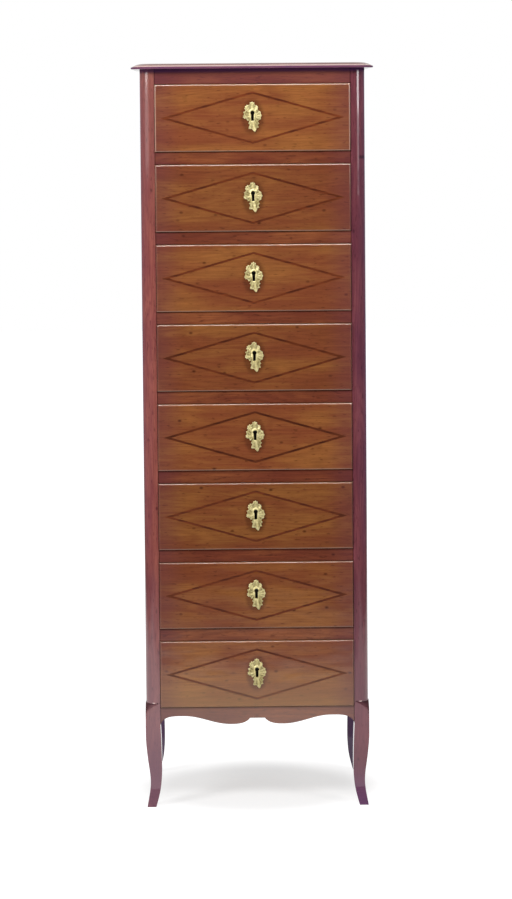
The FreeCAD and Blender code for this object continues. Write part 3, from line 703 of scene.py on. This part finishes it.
def gilt_brass():
    """Old fire gilding: pale and bright on the high places, dull and olive in the hollows."""
    material = bpy.data.materials.new("gilt_brass")
    material.use_nodes = True
    tree = material.node_tree
    finish = tree.nodes["Principled BSDF"]
    place = wire(tree, "TexCoord", {}).outputs["Object"]
    patches = grain(tree, place, 260.0, 260.0, 3.0)
    low = wire(tree, "Attribute", {}, attribute_name="hollow").outputs["Fac"]
    dull = number(tree, "MULTIPLY", low, stretch(tree, patches, 0.2, 0.6, 0.6, 1.0))
    colour = blended(tree, stretch(tree, patches, 0.35, 0.65), tone(216, 204, 150), tone(196, 182, 124))
    colour = blended(tree, dull, colour, tone(108, 94, 46))
    tree.links.new(colour, finish.inputs["Base Color"])
    tree.links.new(stretch(tree, dull, 0.0, 1.0, 0.42, 0.58), finish.inputs["Roughness"])
    skin = wire(tree, "Bump", {"Height": patches, "Strength": 0.4, "Distance": 0.0004})
    tree.links.new(skin.outputs[0], finish.inputs["Normal"])
    finish.inputs["Metallic"].default_value = 0.35
    return material


brass = gilt_brass()
for drawer in drawer_numbers:
    name = "drawer_" + str(drawer)
    front_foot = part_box(name + "_front")[0]
    keyhole_place = (0.0, front_foot.y, front_foot.z + plate_above_front_foot)
    mesh = plate.copy()
    bmesh.ops.translate(mesh, vec=keyhole_place, verts=mesh.verts)
    piece = shown(mesh, "gilt_" + name + "_escutcheon", brass, sharp=60.0)
    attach(piece, name)
    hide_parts(name + "_escutcheon")
plate.free()


# The locks and their bolts. Filed iron cases screwed inside the drawer fronts, each throwing a bolt up
# into the rail above, dark with age and a little rusty.
def lock_iron():
    """Old iron, nearly black and browned in patches."""
    material = bpy.data.materials.new("lock_iron")
    material.use_nodes = True
    tree = material.node_tree
    finish = tree.nodes["Principled BSDF"]
    place = wire(tree, "TexCoord", {}).outputs["Object"]
    patches = grain(tree, place, 90.0, 90.0, 4.0)
    colour = blended(tree, stretch(tree, patches, 0.4, 0.7), tone(56, 54, 52), tone(52, 40, 32))
    tree.links.new(colour, finish.inputs["Base Color"])
    tree.links.new(stretch(tree, patches, 0.3, 0.7, 0.35, 0.6), finish.inputs["Roughness"])
    finish.inputs["Metallic"].default_value = 0.9
    return material


iron = lock_iron()
for drawer in drawer_numbers:
    for part in ("lock", "bolt"):
        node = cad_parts["drawer_" + str(drawer) + "_" + part]
        node.data.materials.clear()
        node.data.materials.append(iron)


# The studio. A sheet of white paper under and behind the piece, a dim room behind the camera, plain soft
# light from above and both sides, and bright strips that only show as glints in the polish.
def seen_directly(tree):
    """Two switches, one for all rays that show the surroundings and one for those that mirror them."""
    path = wire(tree, "LightPath", {})
    seen = number(tree, "MAXIMUM", path.outputs["Is Camera Ray"], path.outputs["Is Glossy Ray"])
    return number(tree, "MAXIMUM", seen, path.outputs["Is Transmission Ray"]), path.outputs["Is Glossy Ray"]


def paper_floor():
    """White to the eye with the piece's shadow on it, partly cast and partly painted as a dimmer glow
    round the piece. In a mirror it ends, with a cool dim room beyond.
    """
    material = bpy.data.materials.new("paper_floor")
    material.use_nodes = True
    tree = material.node_tree
    tree.nodes.clear()
    seen, mirrored = seen_directly(tree)
    place = wire(tree, "TexCoord", {}).outputs["Object"]
    spread = wire(tree, "Mapping", {"Vector": place, "Scale": (3.2, 3.6, 1.0)}).outputs[0]
    away = wire(tree, "VectorMath", {0: spread}, operation="LENGTH").outputs["Value"]
    spot = wire(tree, "SeparateXYZ", {0: place}).outputs
    beyond = number(tree, "ADD", stretch(tree, spot[1], -1.4, -1.9, 0.0, 0.62),
                    stretch(tree, spot[1], -1.9, -3.2, 0.0, 0.32))
    aside = number(tree, "ABSOLUTE", spot[0])
    beyond = number(tree, "MAXIMUM", beyond, stretch(tree, aside, 1.7, 2.5, 0.0, 0.88))
    sheet = number(tree, "MULTIPLY", beyond, mirrored)
    sheet = number(tree, "SUBTRACT", 1.0, sheet)
    cool = number(tree, "MULTIPLY", stretch(tree, aside, 2.8, 3.8), mirrored)
    sheet_colour = blended(tree, cool, (1.0, 1.0, 1.0, 1.0), (0.34, 0.38, 0.74, 1.0))
    # The paper glows less near the piece: a painted shadow round it.
    glow_and_painted_shadow = number(tree, "MULTIPLY", stretch(tree, away, 0.55, 1.1, 0.6, 1.0), sheet)
    glow_and_painted_shadow = number(tree, "MULTIPLY_ADD", cool, 0.4, glow_and_painted_shadow)
    grey = number(tree, "MULTIPLY", sheet, 0.42)
    paper = wire(tree, "BsdfDiffuse", {"Color": (0.8, 0.8, 0.8, 1.0)})
    shade = wire(tree, "BsdfDiffuse", {"Color": grey})
    light = wire(tree, "Emission", {"Color": sheet_colour, "Strength": glow_and_painted_shadow})
    white = wire(tree, "AddShader", {0: shade.outputs[0], 1: light.outputs[0]})
    either = wire(tree, "MixShader", {0: seen, 1: paper.outputs[0], 2: white.outputs[0]})
    wire(tree, "OutputMaterial", {"Surface": either.outputs[0]})
    return material


floor_mesh = bmesh.new()
bmesh.ops.create_grid(floor_mesh, x_segments=1, y_segments=1, size=12.0)
floor = shown(floor_mesh, "paper_floor", paper_floor())

# White all round to the eye. In a mirror it has dim walls at both hands and a dark room behind the camera.
world = bpy.data.worlds.new("white_studio")
bpy.context.scene.world = world
world.use_nodes = True
tree = world.node_tree
tree.nodes.clear()
seen, mirrored = seen_directly(tree)
toward = wire(tree, "SeparateXYZ", {0: wire(tree, "TexCoord", {}).outputs["Generated"]}).outputs
aside = stretch(tree, number(tree, "ABSOLUTE", toward[0]), 0.25, 0.5)
walls = number(tree, "MULTIPLY", aside, mirrored)
room = number(tree, "MULTIPLY", stretch(tree, toward[1], -0.45, -0.8), mirrored)
level = stretch(tree, number(tree, "ABSOLUTE", toward[2]), 0.05, 0.11, 1.0, 0.0)
wall_colour = blended(tree, level, (0.16, 0.15, 0.14, 1.0), (0.26, 0.26, 0.42, 1.0))
sweep_colour = blended(tree, walls, (1.0, 1.0, 1.0, 1.0), wall_colour)
sweep_colour = blended(tree, room, sweep_colour, (0.1, 0.1, 0.11, 1.0))
white = wire(tree, "Background", {"Color": sweep_colour, "Strength": 1.0})
fill = wire(tree, "Background", {"Color": (0.97, 0.98, 1.0, 1.0), "Strength": 0.36})
either = wire(tree, "MixShader", {0: seen, 1: fill.outputs[0], 2: white.outputs[0]})
wire(tree, "OutputWorld", {"Surface": either.outputs[0]})

# The bright strips light these pieces alone.
glinting = bpy.data.collections.new("glinting")
for name in ("polished_front_left_post", "polished_front_right_post"):
    glinting.objects.link(bpy.data.objects[name])
for drawer in drawer_numbers:
    glinting.objects.link(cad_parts["drawer_" + str(drawer) + "_front"])
    glinting.objects.link(bpy.data.objects["gilt_drawer_" + str(drawer) + "_escutcheon"])


def soft_box(name, place, aim, wide, tall, power, glint):
    """A lamp that gives either plain light or nothing but a glint in the polish."""
    light = bpy.data.lights.new(name, "AREA")
    light.shape = "RECTANGLE"
    light.size = wide
    light.size_y = tall
    light.energy = power
    lamp = bpy.data.objects.new(name, light)
    lamp.location = place
    lamp.rotation_euler = (Vector(aim) - Vector(place)).to_track_quat("-Z", "Y").to_euler()
    lamp.visible_diffuse = not glint
    lamp.visible_glossy = glint
    lamp.visible_camera = False
    if glint:
        lamp.light_linking.receiver_collection = glinting
    bpy.context.scene.collection.objects.link(lamp)


soft_box("left_box", (-2.3, -2.0, 2.6), (0.0, 0.0, 1.3), wide=0.8, tall=1.4, power=52.0, glint=False)
soft_box("right_box", (2.3, -2.0, 2.6), (0.0, 0.0, 1.3), wide=0.8, tall=1.4, power=19.0, glint=False)
soft_box("front_box", (0.0, -2.4, 3.0), (0.0, 0.0, 1.2), wide=1.6, tall=0.8, power=48.0, glint=False)
# The strips at the two hands stand upright, each with a fainter one below it.
strip_x = 2.49
strip_y = -1.68
left_strip_z = 2.236
left_glow_z = 1.365
right_strip_z = 2.1
right_glow_z = 1.28
soft_box("left_strip", (-strip_x, strip_y, left_strip_z), (0.0, 0.0, left_strip_z),
         wide=1.0, tall=1.44, power=170.0, glint=True)
soft_box("left_glow", (-strip_x, strip_y, left_glow_z), (0.0, 0.0, left_glow_z),
         wide=1.8, tall=0.29, power=2.9, glint=True)
soft_box("right_strip", (strip_x, strip_y, right_strip_z), (0.0, 0.0, right_strip_z),
         wide=0.9, tall=1.44, power=50.0, glint=True)
soft_box("right_glow", (strip_x, strip_y, right_glow_z), (0.0, 0.0, right_glow_z),
         wide=0.9, tall=0.2, power=1.5, glint=True)
soft_box("top_strip", (0.0, -1.5, 3.2), (0.0, 0.0, 1.0), wide=0.9, tall=0.45, power=52.0, glint=True)

# The camera, at about the height of the top board and a little to the left of the middle, as the photograph
# was taken. Angles are in radians, the focal length and the optical row in the photograph's pixels.
photo_height = 899
camera_place = Vector((-0.06, -5.8724, 1.42))
yaw = -0.0113
pitch = 0.0582
roll = -0.0084
focal = 2860.2
optical_row = 269.7
sensor = 36.0
forward = Vector((-math.cos(pitch) * math.sin(yaw), math.cos(pitch) * math.cos(yaw), -math.sin(pitch)))
level_right = Vector((math.cos(yaw), math.sin(yaw), 0.0))
level_up = Vector((-math.sin(pitch) * math.sin(yaw), math.sin(pitch) * math.cos(yaw), math.cos(pitch)))
right = math.cos(roll) * level_right + math.sin(roll) * level_up
up = math.cos(roll) * level_up - math.sin(roll) * level_right
lens = bpy.data.cameras.new("camera")
lens.sensor_width = sensor
lens.lens = focal / photo_height * sensor
lens.shift_y = (optical_row - photo_height / 2) / photo_height
camera = bpy.data.objects.new("camera", lens)
turned = Matrix((right, up, -forward)).transposed().to_4x4()
camera.matrix_world = Matrix.Translation(camera_place) @ turned
bpy.context.scene.collection.objects.link(camera)
bpy.context.scene.camera = camera
bpy.context.scene.view_settings.view_transform = "Standard"
